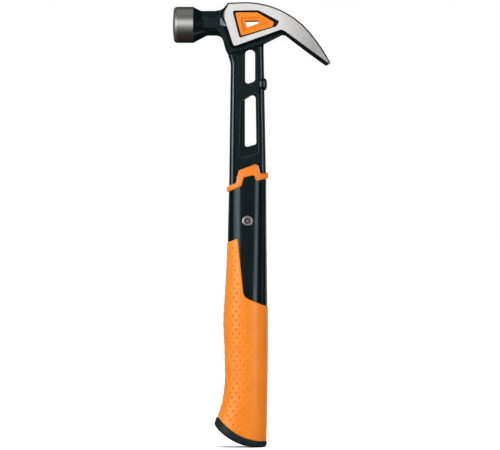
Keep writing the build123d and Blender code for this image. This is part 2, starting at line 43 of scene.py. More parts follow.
# ---- Handle ---------------------------------------------------------------------------------------------
# Height, front edge, back edge, half thickness and sharpness of the handle's section.
HANDLE_STATIONS = np.array([
    (-6.0, -34.0, 11.2, 12.6, 8.0),
    (8.0, -31.6, 11.7, 12.9, 8.0),
    (20.0, -27.9, 12.0, 13.1, 8.0),
    (32.0, -23.6, 12.2, 13.2, 8.0),
    (48.0, -21.0, 12.5, 13.4, 8.0),
    (72.0, -21.0, 12.7, 13.9, 8.0),
    (98.0, -21.8, 12.7, 14.2, 8.0),
    (120.0, -20.6, 12.5, 13.4, 8.5),
    (145.0, -19.2, 12.2, 11.9, 9.5),
    (175.0, -18.5, 11.9, 10.6, 10.5),
    (205.0, -17.8, 11.8, 9.6, 11.0),
    (230.0, -17.4, 11.6, 9.0, 11.0),
])
# The section's flats, each by the direction that it faces: front and back, sides, and two sloping shoulders.
SECTION_FACETS = [(1.0, 0.0), (0.0, 1.0), (0.55, 0.77), (0.89, 0.36)]
GIRTH_Z = 98.0  # lengths round the handle are measured at this height
GIRTH_POINTS = 4001
PATH_STEPS = 9  # points along each rounded corner of a path

BAND_UPPER = [(-22.0, 200.0), (-12.6, 203.6), (-10.2, 213.6), (4.7, 218.6), (6.8, 211.1), (16.0, 212.2)]
BAND_LOWER = [(-22.0, 195.8), (-8.2, 201.4), (-6.1, 208.1), (2.6, 209.8), (4.0, 205.2), (16.0, 208.1)]
BAND_ROUND = 1.5
BAND_PROUD = 1.1
BAND_LIP = 0.9
BAND_DEPTH = 4.0
BAND_GRID = (194.0, 220.0, 0.25, 0.3)  # lowest and highest row, and steps up and round the handle
GRIP_TOP = [(-24.0, 155.8), (-10.9, 161.4), (-6.0, 115.9), (18.0, 106.5)]
GRIP_TOP_ROUND = [1.2, 7.0]
GRIP_THICKNESS = 2.4
GRIP_LIP = 0.8
GRIP_GRID_TOP = 166.0
GRIP_BED = (0.4, 1.4)  # distances inside the grip's edge over which the shell sinks below it
GRIP_GAP = 0.05  # between the grip and the shell under it
SHELL_INSET = 0.4
SHELL_WALL = 4.8
SHELL_GRID = (1.0, 212.0, 0.4, 0.5)
SEAM_LIP = 0.25
SEAM_COLUMNS = np.array([0.0, 0.08, 0.18, 0.32])  # finer columns next to the seam
GRID_SNAP = 0.15  # share of a row within which a cut line snaps to the grid
CAP_UPPER = (10.7, 50.1, 45.6)  # arcs that bound the end cap: X and Z of the middle, and radius
CAP_LOWER = (6.4, 45.1, 45.1)
CAP_PROUD = 0.3
CAP_LIP = 0.5
CAP_ROUND = 2.2
CAP_COLUMNS = 240
CAP_TOP_INSET = 3.0
CAP_SOLE_SCALES = (0.04, 0.3, 0.55, 0.75, 0.9)  # sizes of the sole's rings, as parts of its edge
CAP_WALL_SHARES = (0.5, 0.7, 0.85)  # heights of the wall's rings, from the lower arc to the upper one
CAP_ROUND_STEPS = 8
CAP_LIP_STEPS = 5
CAP_START_Z = 10.0  # where the search for a ring's height begins
CAP_PASSES = 40

# ---- Dimples of the grip --------------------------------------------------------------------------------
DIMPLE_RADIUS = 1.05
DIMPLE_DEPTH = 0.6
DIMPLE_HALF_PITCH = (2.9, 3.5)  # round the handle and up it
DIMPLE_STEPS = (8, 10)  # mesh cells in each half pitch
DIMPLE_FADE = (17.0, 36.0)  # distances from the front edge over which the dimples fade out
DIMPLE_MARGIN = 2.0
DIMPLE_BOWL = 1.5  # shape of a dimple's hollow: more makes it narrower at the bottom
# The grip's colour darkens by this depth, as painted shade.
PIT_ATTRIBUTE = "pit"  # how deep each point lies in a dimple, from 0 to 1

# ---- Inside the handle ----------------------------------------------------------------------------------
TANG_X = -3.2
TANG_SECTION = (8.0, 3.0, 1.0)  # half width, half thickness and corner radius
SLEEVE_SECTION = (9.8, 4.8, 2.4)
PLUG_SECTION = (11.0, 7.0, 6.0)
SLEEVE_HEIGHTS = (62.0, 208.0)
PLUG_HEIGHTS = (8.0, 42.0)
BOLT_Z = 174.5
BOLT_SEAT = 9.2
BOLT_SOCKET_RADIUS = 2.3
BOLT_PIP_RADIUS = 0.9
BOLT_POCKET_RADIUS = 4.5
BOLT_POCKET_LIP = 0.35
CORNER_STEPS = 7  # points along each corner of a rounded rectangle

# ---- Head ------------------------------------------------------------------------------------------------
CHEEK_HALF = 12.0  # half the thickness over the ground sides
BEVEL_DEPTH = 1.2  # depth of the window's bevel, and of the rim's, below the ground sides
BEVEL_START_X = -14.0  # in front of this the bevels are painted like the neck
INSERT_MIDDLE = (5.0, 328.0)
WEB_HALF = 6.3  # half the thickness of the shank's web
RECESS_MIDDLE = (-1.8, 248.6)  # the recess round the lower slot
RECESS_REACH = (8.6, 28.0)
POLL_BACK_X = -45.0
POLL_EDGE_X = -57.0  # where the turned barrel ends and the struck face's rounding begins
FACE_MARGIN = 0.1  # slack when a face's place is compared with a plane
SOCKET_MARGIN = 0.01
SQUARE_ON = 0.999  # least sideways part of a normal that faces square to the side
NEARLY_SQUARE = 0.9
SLOPING = 0.5
UPWARD = 0.3  # least upward part of the rim's normals

# ---- Studio, in metres, degrees and watts ----------------------------------------------------------------
FLOOR_RADIUS = 40.0
FLOOR_SIDES = 96
CAMERA_DISTANCE = 3.0
CAMERA_X = -0.0012
CAMERA_HEIGHT = 0.1714
CAMERA_CLIP = (0.1, 100.0)
SENSOR_WIDTH = 36.0
PICTURE_WIDTH = 0.38625  # how much of the hammer's plane the picture spans
WORLD_STRENGTH = (1.0, 0.26)  # at the horizon and overhead
WORLD_HEIGHTS = (0.12, 0.32)  # between which the strength changes
MIDDLE = (0, 0, 0.2)  # what the lamps point at
LIGHT_DISTANCE = 2.4
SUN_PLACE = (0, -0.2, 3)
SUN_ENERGY = 3.0
SUN_SPREAD = 50
CEILING_HEIGHT = 3
SOFTBOX_HEIGHT = 0.82
# Tall strip lights round the hammer: degrees from straight in front, and power.
STRIPS = [(-34, 36), (-62, 10), (34, 30), (90, 4), (-145, 2), (145, 4)]
STRIP_HEIGHT = 0.5
STRIP_SIZE = (0.7, 1.6)

SHARP_ANGLE = math.radians(30)


# ---- Shape of the handle's surface ----------------------------------------------------------------------
def station_values(z):
    """Front edge, back edge, half thickness and sharpness at heights z, smooth between the stations."""
    heights, values = HANDLE_STATIONS[:, 0], HANDLE_STATIONS[:, 1:]
    slopes = np.gradient(values, heights, axis=0)
    low = np.clip(np.searchsorted(heights, z) - 1, 0, len(heights) - 2)
    span = (heights[low + 1] - heights[low])[..., None]
    t = (z[..., None] - heights[low][..., None]) / span
    rise = values[low + 1] - values[low]
    start, end = slopes[low] * span, slopes[low + 1] * span
    mixed = values[low] + t * (start + t * (3 * rise - 2 * start - end + t * (start + end - 2 * rise)))
    return np.moveaxis(mixed, -1, 0)


def section_reach(angle, sharpness):
    """How far the section's outline lies from its middle, in units of half width and half thickness."""
    across, through = np.abs(np.cos(angle)), np.abs(np.sin(angle))
    total = 0.0
    for facet_across, facet_through in SECTION_FACETS:
        total = total + (facet_across * across + facet_through * through) ** sharpness
    return total ** (-1 / sharpness)


def handle_point(angle, z, inset):
    """X and Y of the handle's surface, drawn inset, at angles round it and heights up it."""
    front, back, half_thickness, sharpness = station_values(z)
    half_width = ((back - front) / 2 - inset) / section_reach(0.0, sharpness)
    half = (half_thickness - inset) / section_reach(math.pi / 2, sharpness)
    reach = section_reach(angle, sharpness)
    return (front + back) / 2 + half_width * reach * np.cos(angle), half * reach * np.sin(angle)


def girth_angles():
    """A fine row of angles from the front edge right round, and how far round the handle each lies."""
    angles = np.linspace(math.pi, 3 * math.pi, GIRTH_POINTS)
    x, y = handle_point(angles, np.full_like(angles, GIRTH_Z), 0.0)
    return angles, np.concatenate([[0.0], np.cumsum(np.hypot(np.diff(x), np.diff(y)))])


def angles_at(distances):
    """The angles that lie at these distances round the handle from its front edge."""
    angles, girth = girth_angles()
    return np.interp(np.mod(distances, girth[-1]), girth, angles) + 2 * math.pi * (distances // girth[-1])


def handle_girth():
    """Length right round the handle."""
    return girth_angles()[1][-1]


# ---- Lines across the handle, seen from the side --------------------------------------------------------
def rounded_path(corners, radii):
    """Points along a polyline whose inner corners are rounded."""
    corners = [Vector(corner) for corner in corners]
    points = [corners[0]]
    for before, corner, after, radius in zip(corners, corners[1:], corners[2:], radii):
        back, ahead = (before - corner).normalized(), (after - corner).normalized()
        half_angle = back.angle(ahead) / 2
        centre = corner + (back + ahead).normalized() * (radius / math.sin(half_angle))
        reach = radius / math.tan(half_angle)
        start, end = corner + back * reach - centre, corner + ahead * reach - centre
        for share in np.linspace(0, 1, PATH_STEPS):
            points.append(centre + start.lerp(end, share).normalized() * radius)
    points.append(corners[-1])
    return np.array([tuple(point) for point in points])


def below_path(x, z, path):
    """Distance of each point from a path that runs in +X, positive below it."""
    nearest = np.full(x.shape, np.inf)
    for start, end in zip(path[:-1], path[1:]):
        along = end - start
        share = ((x - start[0]) * along[0] + (z - start[1]) * along[1]) / (along @ along)
        share = np.clip(share, 0, 1)
        gap = np.hypot(x - start[0] - share * along[0], z - start[1] - share * along[1])
        nearest = np.minimum(nearest, gap)
    return np.where(z < np.interp(x, path[:, 0], path[:, 1]), nearest, -nearest)


def above_arc(x, z, arc):
    """Distance of each point above an arc that sags like a bowl."""
    centre_x, centre_z, radius = arc
    return np.where(z > centre_z, radius, radius - np.hypot(x - centre_x, z - centre_z))


def arc_height(x, arc):
    """Height at x of an arc that sags like a bowl."""
    centre_x, centre_z, radius = arc
    return centre_z - np.sqrt(radius**2 - (x - centre_x) ** 2)


def rounded_lip(distance, radius):
    """How far a surface drops at this distance from its edge, so that the edge is a quarter round."""
    left = np.clip(radius - distance, 0, radius)
    return radius - np.sqrt(radius**2 - left**2)


def fade(value, start, end):
    """Smooth step from 0 at start to 1 at end."""
    t = np.clip((value - start) / (end - start), 0, 1)
    return t * t * (3 - 2 * t)


# ---- Meshes ---------------------------------------------------------------------------------------------
def add_piece(name, vertices, faces, material, replaced):
    """A mesh from points in millimetres, on the root body, that stands for a CAD node."""
    mesh = bpy.data.meshes.new(name)
    mesh.from_pydata([tuple(vertex) for vertex in np.asarray(vertices) * MM], [], faces)
    mesh.validate()
    mesh.materials.append(material)
    mesh.shade_smooth()
    mesh.set_sharp_from_angle(angle=SHARP_ANGLE)
    piece = bpy.data.objects.new(name, mesh)
    bpy.context.scene.collection.objects.link(piece)
    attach(piece, "root")
    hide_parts(replaced)
    return piece


def trimmed_grid(angles, heights, inside, snap, ring=False):
    """Angle and height of each point, and the faces, of a grid cut off along the line where inside is zero.

    The last column of a ring stands for its first one, so that the ring closes without a seam.
    """
    angle, height = np.meshgrid(angles, heights)
    level = inside(angle, height)
    level[np.abs(level) < snap] = 0.0
    index = np.arange(level.size).reshape(level.shape)
    shared = index.copy()
    if ring:
        level[:, -1] = level[:, 0]
        shared[:, -1] = shared[:, 0]
    corners = np.stack([index[:-1, :-1], index[:-1, 1:], index[1:, 1:], index[1:, :-1]], -1).reshape(-1, 4)
    shared = shared.ravel()
    angle, height, level = list(angle.ravel()), list(height.ravel()), level.ravel()
    kept = level[corners] >= 0
    faces = shared[corners[kept.all(axis=1)]].tolist()
    cuts = {}
    for cell in corners[kept.any(axis=1) & ~kept.all(axis=1)].tolist():
        outline = []
        for a, b in zip(cell, cell[1:] + cell[:1]):
            if level[a] >= 0:
                outline.append(int(shared[a]))
            if level[a] * level[b] < 0:
                key = frozenset((int(shared[a]), int(shared[b])))
                if key not in cuts:
                    share = level[a] / (level[a] - level[b])
                    cuts[key] = len(angle)
                    angle.append(angle[a] + share * (angle[b] - angle[a]))
                    height.append(height[a] + share * (height[b] - height[a]))
                outline.append(cuts[key])
        if len(outline) > 2:
            faces.append(outline)
    used = sorted({vertex for face in faces for vertex in face})
    place = {vertex: number for number, vertex in enumerate(used)}
    faces = [[place[vertex] for vertex in face] for face in faces]
    return np.array(angle)[used], np.array(height)[used], faces


def thick_skin(angle, height, faces, outer_inset, inner_inset):
    """Points and faces of the closed solid between two insets of the handle's surface."""
    outer_x, outer_y = handle_point(angle, height, outer_inset)
    inner_x, inner_y = handle_point(angle, height, inner_inset)
    outer = np.stack([outer_x, outer_y, height], -1)
    inner = np.stack([inner_x, inner_y, height], -1)
    count = len(outer)
    edges = {(a, b) for face in faces for a, b in zip(face, face[1:] + face[:1])}
    walls = [(b, a, a + count, b + count) for a, b in edges if (b, a) not in edges]
    backs = [[vertex + count for vertex in reversed(face)] for face in faces]
    return np.concatenate([outer, inner]), faces + backs + sorted(walls)


def ring_solid(rings, tube=False):
    """Points and faces of a solid through rings of equal count: a tube, or a body with closed ends."""
    count = len(rings[0])
    faces = []
    pairs = list(zip(range(len(rings)), range(1, len(rings))))
    if tube:
        pairs.append((len(rings) - 1, 0))
    for low, high in pairs:
        for a in range(count):
            b = (a + 1) % count
            faces.append([low * count + a, low * count + b, high * count + b, high * count + a])
    if not tube:
        faces.append(list(reversed(range(count))))
        faces.append([(len(rings) - 1) * count + a for a in range(count)])
    return np.concatenate(rings), faces


def combined(*solids):
    """Several solids' points and faces as one."""
    all_points, all_faces, start = [], [], 0
    for points, faces in solids:
        all_points.append(points)
        all_faces += [[vertex + start for vertex in face] for face in faces]
        start += len(points)
    return np.concatenate(all_points), all_faces


def rounded_rectangle(section, z):
    """A ring round the tang's axis at height z."""
    half_width, half_thickness, corner = section
    points = []
    for quarter, (side_x, side_y) in enumerate([(1, 1), (-1, 1), (-1, -1), (1, -1)]):
        for angle in np.linspace(quarter, quarter + 1, CORNER_STEPS) * math.pi / 2:
            x = side_x * (half_width - corner) + corner * math.cos(angle)
            y = side_y * (half_thickness - corner) + corner * math.sin(angle)
            points.append((TANG_X + x, y, z))
    return np.array(points)


# ---- Materials ------------------------------------------------------------------------------------------
def add_node(tree, kind, inputs=(), **settings):
    """A shader node with its settings and inputs, where an input is a value or another node's output."""
    node = tree.nodes.new(kind)
    for key, value in settings.items():
        setattr(node, key, value)
    for key, value in dict(inputs).items():
        if isinstance(value, bpy.types.NodeSocket):
            tree.links.new(value, node.inputs[key])
        else:
            node.inputs[key].default_value = value
    return node


def noise(tree, place, scale, detail=3.0, roughness=0.55, stretch=(1.0, 1.0, 1.0), turn=0.0):
    """A noise texture in object space, scaled per metre and stretched along its axes."""
    mapping = add_node(
        tree,
        "ShaderNodeMapping",
        {"Vector": place, "Scale": [scale * factor for factor in stretch], "Rotation": (0, turn, 0)},
    )
    inputs = {"Vector": mapping.outputs["Vector"], "Scale": 1.0, "Detail": detail, "Roughness": roughness}
    return add_node(tree, "ShaderNodeTexNoise", inputs).outputs["Fac"]


def ramp(tree, value, low, high, start=0.35, end=0.65):
    """Maps a texture's usual range onto low to high."""
    inputs = {"Value": value, "From Min": start, "From Max": end, "To Min": low, "To Max": high}
    return add_node(tree, "ShaderNodeMapRange", inputs).outputs["Result"]


def colour_between(tree, value, first, second):
    """A blend from the first colour to the second by a value from 0 to 1."""
    mix = add_node(tree, "ShaderNodeMix", data_type="RGBA")
    tree.links.new(value, mix.inputs["Factor"])
    mix.inputs[6].default_value = (*first, 1)
    mix.inputs[7].default_value = (*second, 1)
    return mix.outputs[2]


def multiplied(tree, first, second):
    """The product of two values."""
    inputs = {0: first, 1: second}
    return add_node(tree, "ShaderNodeMath", inputs, operation="MULTIPLY").outputs[0]


def new_material(name, **constants):
    """A material, its tree, its shader and object coordinates; constants go on the shader's own sockets."""
    material = bpy.data.materials.new(name)
    material.use_nodes = True
    tree = material.node_tree
    shader = tree.nodes["Principled BSDF"]
    for key, value in constants.items():
        shader.inputs[key.replace("_", " ")].default_value = value
    place = add_node(tree, "ShaderNodeTexCoord").outputs["Object"]
    return material, tree, shader, place


def bump(tree, shader, height, depth, before=None):
    """Adds relief of this depth in metres to the shader."""
    inputs = {"Height": height, "Distance": depth, "Strength": 1.0}
    if before is not None:
        inputs["Normal"] = before
    normal = add_node(tree, "ShaderNodeBump", inputs).outputs["Normal"]
    tree.links.new(normal, shader.inputs["Normal"])
    return normal


def toned(tree, colour, amount, tone):
    """The colour multiplied by a tone, by an amount from 0 to 1."""
    mix = add_node(tree, "ShaderNodeMix", data_type="RGBA", blend_type="MULTIPLY")
    tree.links.new(amount, mix.inputs["Factor"])
    tree.links.new(colour, mix.inputs[6])
    mix.inputs[7].default_value = (*tone, 1)
    return mix.outputs[2]


def moulded_material(name, colours, roughness, grain, depth, pit_shade_tone=None, **constants):
    """Moulded plastic or rubber, or sprayed paint: mottled colour, uneven gloss and a fine grain, and, if
    asked, painted shade that darkens the colour down in the dimples.
    """
    material, tree, shader, place = new_material(name, **constants)
    cloud = noise(tree, place, 70, detail=4)
    colour = colour_between(tree, ramp(tree, cloud, 0, 1), *colours)
    if pit_shade_tone is not None:
        # Painted shade: the colour darkens down in the dimples, by how deep each point lies.
        pits = add_node(tree, "ShaderNodeAttribute", attribute_name=PIT_ATTRIBUTE).outputs["Fac"]
        colour = toned(tree, colour, pits, pit_shade_tone)
    tree.links.new(colour, shader.inputs["Base Color"])
    smear = noise(tree, place, 260, detail=5, stretch=(1, 1, 0.35))
    tree.links.new(ramp(tree, smear, *roughness), shader.inputs["Roughness"])
    coarse = bump(tree, shader, noise(tree, place, grain * 0.22, detail=2), depth * 2.0)
    bump(tree, shader, noise(tree, place, grain, detail=3), depth, coarse)
    return material


def bare_steel(name, colours, roughness, stretch, turn, depth, metallic=1.0, painted_tip_shade=None):
    """Ground or turned steel: fine lines in colour, gloss and relief, with a cloudy sheen over them, and, if
    asked, painted shade that darkens the colour towards +X.
    """
    material, tree, shader, place = new_material(name, Metallic=metallic)
    lines = noise(tree, place, 1.0, detail=6, roughness=0.7, stretch=stretch, turn=turn)
    cloud = noise(tree, place, 55, detail=3)
    blend = multiplied(tree, ramp(tree, lines, 0, 1, 0.3, 0.7), ramp(tree, cloud, 0.75, 1.0))
    colour = colour_between(tree, blend, *colours)
    if painted_tip_shade is not None:
        # Painted shade: the colour darkens along +X, over the claw's flat side towards its tip.
        start, end, shade = painted_tip_shade
        x = add_node(tree, "ShaderNodeSeparateXYZ", {"Vector": place}).outputs["X"]
        colour = toned(tree, colour, ramp(tree, x, 0, 1, start * MM, end * MM), shade)
    tree.links.new(colour, shader.inputs["Base Color"])
    tree.links.new(ramp(tree, lines, *roughness, 0.3, 0.7), shader.inputs["Roughness"])
    bump(tree, shader, lines, depth)
    return material


def foam_material(name):
    """Light closed-cell foam for the hidden core."""
    material, tree, shader, place = new_material(name, Roughness=0.85)
    inputs = {"Vector": place, "Scale": 900.0}
    cells = add_node(tree, "ShaderNodeTexVoronoi", inputs).outputs["Distance"]
    colour = colour_between(tree, ramp(tree, cells, 0, 1, 0.1, 0.7), (0.40, 0.40, 0.38), (0.30, 0.30, 0.29))
    tree.links.new(colour, shader.inputs["Base Color"])
    bump(tree, shader, cells, 0.0002)
    return material


COOL_GLOSS = (0.78, 0.94, 1.0, 1.0)
# The ground sides darken towards the claw tip: painted shade.
ground_steel = bare_steel(
    "ground_steel", ((0.83, 0.81, 0.79), (0.66, 0.645, 0.63)), (0.30, 0.44), (2600, 300, 240), 0.35, 0.000012,
    metallic=0.8, painted_tip_shade=(20, 48, (0.53, 0.53, 0.54)),
)
# A darker copy of the bare steel for the upward rim bevels: painted shade.
shaded_rim_steel = bare_steel(
    "shaded_rim_steel", ((0.17, 0.168, 0.165), (0.12, 0.118, 0.116)), (0.36, 0.48), (700, 700, 700), 0, 0.000008,
)
turned_steel = bare_steel(
    "turned_steel", ((0.80, 0.79, 0.785), (0.64, 0.635, 0.63)), (0.32, 0.42), (5200, 60, 60), 0.0, 0.000010
)
# The poll's struck face and rounding: a rougher struck finish, and a darker colour that paints shade over the
# rounding.
struck_and_shaded_steel = bare_steel(
    "struck_and_shaded_steel", ((0.38, 0.375, 0.37), (0.29, 0.285, 0.28)), (0.46, 0.58), (900, 900, 900), 0.0, 0.000010,
    metallic=0.98,
)
bolt_steel = bare_steel(
    "bolt_steel", ((0.38, 0.37, 0.355), (0.28, 0.275, 0.265)), (0.34, 0.46), (1500, 1500, 1500), 0.0, 0.000006
)
# Dark steel for the bolt head's socket: painted shade in the hollow.
socket_shade_steel = bare_steel(
    "socket_shade_steel", ((0.10, 0.10, 0.10), (0.05, 0.05, 0.05)), (0.35, 0.5), (1500, 1500, 1500), 0.0, 0.000006
)
black_paint = moulded_material(
    "black_paint", ((0.0010, 0.0034, 0.0040), (0.0018, 0.0047, 0.0055)), (0.18, 0.27), 1500, 0.000006,
    Specular_IOR_Level=0.34, Specular_Tint=COOL_GLOSS,
)
recess_paint = moulded_material(
    "recess_paint", ((0.0012, 0.0034, 0.0040), (0.0020, 0.0046, 0.0054)), (0.50, 0.62), 1500, 0.000006,
    Specular_IOR_Level=0.10, Specular_Tint=COOL_GLOSS,
)
# Lighter, glossier paint for the recess's sloping edges: a painted highlight that draws its outline.
highlight_paint = moulded_material(
    "highlight_paint", ((0.024, 0.031, 0.033), (0.015, 0.021, 0.023)), (0.22, 0.32), 1500, 0.000006,
    Specular_IOR_Level=0.8, Specular_Tint=COOL_GLOSS,
)
black_plastic = moulded_material(
    "black_plastic", ((0.0009, 0.0032, 0.0038), (0.0016, 0.0045, 0.0052)), (0.17, 0.25), 3200, 0.000003,
    Specular_IOR_Level=0.18, Specular_Tint=COOL_GLOSS,
)
black_rubber = moulded_material(
    "black_rubber", ((0.0040, 0.0075, 0.0085), (0.0065, 0.0110, 0.0120)), (0.36, 0.48), 2400, 0.000012,
    Specular_IOR_Level=0.12, Specular_Tint=COOL_GLOSS,
)
orange_plastic = moulded_material(
    "orange_plastic", ((0.50, 0.128, 0.0032), (0.455, 0.113, 0.0023)), (0.30, 0.42), 2600, 0.000010,
    Specular_IOR_Level=0.25,
)
orange_rubber = moulded_material(
    "orange_rubber", ((0.485, 0.128, 0.0012), (0.44, 0.114, 0.0006)), (0.30, 0.40), 2800, 0.000010,
    pit_shade_tone=(0.93, 0.84, 0.74), Specular_IOR_Level=0.25, Sheen_Weight=0.03, Sheen_Roughness=0.4,
)
orange_elastomer = moulded_material(
    "orange_elastomer", ((0.455, 0.118, 0.0026), (0.41, 0.105, 0.0018)), (0.36, 0.48), 2400, 0.000010,
    Specular_IOR_Level=0.25,
)
core_foam = foam_material("core_foam")

NODE_MATERIALS = {
    "head_and_shank": black_paint,
    "cheek_insert_left": orange_plastic,
    "cheek_insert_right": orange_plastic,
    "isolation_sleeve": orange_elastomer,
    "tang_end_cushion": orange_elastomer,
    "bolt_bushing": orange_elastomer,
    "pin_bushing": orange_elastomer,
    "lower_pin": bolt_steel,
    "bolt_sleeve_nut": bolt_steel,
    "bolt_screw": bolt_steel,
    "grip_sleeve": orange_rubber,
    "shell_left": black_plastic,
    "shell_right": black_plastic,
    "core_left": core_foam,
    "core_right": core_foam,
    "end_cap": black_rubber,
}


# ---- Carried-over CAD nodes -----------------------------------------------------------------------------
def dress_nodes():
    """Gives every CAD node its material."""
    for name, material in NODE_MATERIALS.items():
        mesh = nodes[name].data
        mesh.materials.clear()
        mesh.materials.append(material)
        mesh.shade_smooth()
        mesh.set_sharp_from_angle(angle=SHARP_ANGLE)


def forging_material(centre, normal):
    """The material of one of the forging's faces, from where it lies in millimetres and how it faces."""
    side = abs(centre.y)
    outward = normal.x * (centre.x - INSERT_MIDDLE[0]) + normal.z * (centre.z - INSERT_MIDDLE[1])
    on_bevel = side > CHEEK_HALF - BEVEL_DEPTH and centre.x > BEVEL_START_X
    sideways = abs(normal.y)
    across = abs(centre.x - RECESS_MIDDLE[0]) / RECESS_REACH[0]
    along = abs(centre.z - RECESS_MIDDLE[1]) / RECESS_REACH[1]
    in_recess = max(across, along) < 1 and side < WEB_HALF - FACE_MARGIN
    if sideways > SQUARE_ON and abs(side - CHEEK_HALF) < FACE_MARGIN:
        return ground_steel
    if on_bevel and outward < 0:
        return recess_paint
    # Upward rim bevels take the darker steel, which paints their shade.
    if on_bevel and sideways > SLOPING and normal.z > UPWARD:
        return shaded_rim_steel
    if centre.x < POLL_BACK_X - FACE_MARGIN:
        return struck_and_shaded_steel if centre.x < POLL_EDGE_X else turned_steel
    # The recess's sloping edges take the painted highlight; its floor takes the duller paint.
    if in_recess and sideways > SLOPING:
        return highlight_paint if sideways < NEARLY_SQUARE else recess_paint
    return black_paint


def dress_forging():
    """Ground sides, a top rim on cheek and claw darkened as painted shade, a turned poll, and paint
    everywhere else.
    """
    mesh = nodes["head_and_shank"].data
    for material in (ground_steel, shaded_rim_steel, turned_steel, struck_and_shaded_steel, recess_paint, highlight_paint):
        mesh.materials.append(material)
    order = list(mesh.materials)
    for face in mesh.polygons:
        face.material_index = order.index(forging_material(face.center / MM, face.normal))


def dress_bolt(name):
    """Steel darkened down in the bolt head's socket, round its bright pip: painted shade in the hollow."""
    mesh = nodes[name].data
    mesh.materials.append(socket_shade_steel)
    for face in mesh.polygons:
        away = math.hypot(face.center.x / MM - TANG_X, face.center.z / MM - BOLT_Z)
        in_socket = BOLT_PIP_RADIUS + SOCKET_MARGIN < away < BOLT_SOCKET_RADIUS + SOCKET_MARGIN
        if in_socket and BOLT_SEAT * MM < abs(face.center.y):
            face.material_index = 1


# ---- Handle pieces --------------------------------------------------------------------------------------
def make_grip():
    """The soft grip, with its swept upper edge and staggered dimples."""
    top = rounded_path(GRIP_TOP, GRIP_TOP_ROUND)
    girth = handle_girth()
    step = DIMPLE_HALF_PITCH[0] / DIMPLE_STEPS[0]
    fine_count = math.ceil(DIMPLE_FADE[1] / step)
    fine = np.arange(-fine_count, fine_count + 1) * step
    coarse_count = round((girth - 2 * fine[-1]) / (2 * step))
    coarse = np.linspace(fine[-1], girth - fine[-1], coarse_count + 1)[1:]
    distances = np.concatenate([fine, coarse])
    row = DIMPLE_HALF_PITCH[1] / DIMPLE_STEPS[1]
    heights = np.arange(0, GRIP_GRID_TOP, row)

    def edge_distance(angle, z):
        x, _ = handle_point(angle, z, 0.0)
        return np.minimum(below_path(x, z, top), above_arc(x, z, CAP_UPPER))

    angle, z, faces = trimmed_grid(angles_at(distances), heights, edge_distance, GRID_SNAP * row, ring=True)
    distance = edge_distance(angle, z)
    all_angles, all_girth = girth_angles()
    round_front = np.interp(np.mod(angle - math.pi, 2 * math.pi) + math.pi, all_angles, all_girth)
    round_front = np.where(round_front > girth / 2, round_front - girth, round_front)
    column = np.round(round_front / DIMPLE_HALF_PITCH[0])
    tier = np.round(z / DIMPLE_HALF_PITCH[1])
    away = np.hypot(round_front - column * DIMPLE_HALF_PITCH[0], z - tier * DIMPLE_HALF_PITCH[1])
    hollow = np.clip(1 - (away / DIMPLE_RADIUS) ** 2, 0, 1) ** DIMPLE_BOWL * ((column + tier) % 2 == 0)
    near_front = 1 - fade(np.abs(round_front), *DIMPLE_FADE)
    inside_edge = fade(distance, DIMPLE_MARGIN, 2 * DIMPLE_MARGIN)
    pit = hollow * (near_front * inside_edge)
    inset = rounded_lip(distance, GRIP_LIP) + DIMPLE_DEPTH * pit
    points, faces = thick_skin(angle, z, faces, inset, GRIP_THICKNESS)
    grip = add_piece("soft_grip", points, faces, orange_rubber, "grip_sleeve")
    attribute = grip.data.attributes.new(PIT_ATTRIBUTE, "FLOAT", "POINT")
    attribute.data.foreach_set("value", np.concatenate([pit, np.zeros_like(pit)]))


def make_shell(name, start, replaced):
    """One half of the hard shell, from band to butt, that starts 0 or 1 half turns from the front edge."""
    top = rounded_path(BAND_LOWER, [BAND_ROUND] * 4)
    grip_top = rounded_path(GRIP_TOP, GRIP_TOP_ROUND)
    half_girth = handle_girth() / 2
    low, high, row, column = SHELL_GRID
    seam = SEAM_COLUMNS
    middle = np.linspace(seam[-1], half_girth - seam[-1], round(half_girth / column))[1:-1]
    distances = start * half_girth + np.concatenate([seam, middle, half_girth - seam[::-1]])

    def edge_distance(angle, z):
        x, _ = handle_point(angle, z, SHELL_INSET)
        outline = np.minimum(below_path(x, z, top), above_arc(x, z, CAP_UPPER))
        return np.minimum(outline, np.hypot(x - TANG_X, z - BOLT_Z) - BOLT_POCKET_RADIUS)

    heights = np.arange(low, high, row)
    angle, z, faces = trimmed_grid(angles_at(distances), heights, edge_distance, GRID_SNAP * row)
    x, y = handle_point(angle, z, SHELL_INSET)
    pocket = rounded_lip(np.hypot(x - TANG_X, z - BOLT_Z) - BOLT_POCKET_RADIUS, BOLT_POCKET_LIP)
    under_grip = (GRIP_THICKNESS + GRIP_GAP - SHELL_INSET) * fade(below_path(x, z, grip_top), *GRIP_BED)
    outer = SHELL_INSET + np.maximum(under_grip, np.maximum(pocket, rounded_lip(np.abs(y), SEAM_LIP)))
    points, faces = thick_skin(angle, z, faces, outer, SHELL_INSET + SHELL_WALL)
    add_piece(name, points, faces, black_plastic, replaced)


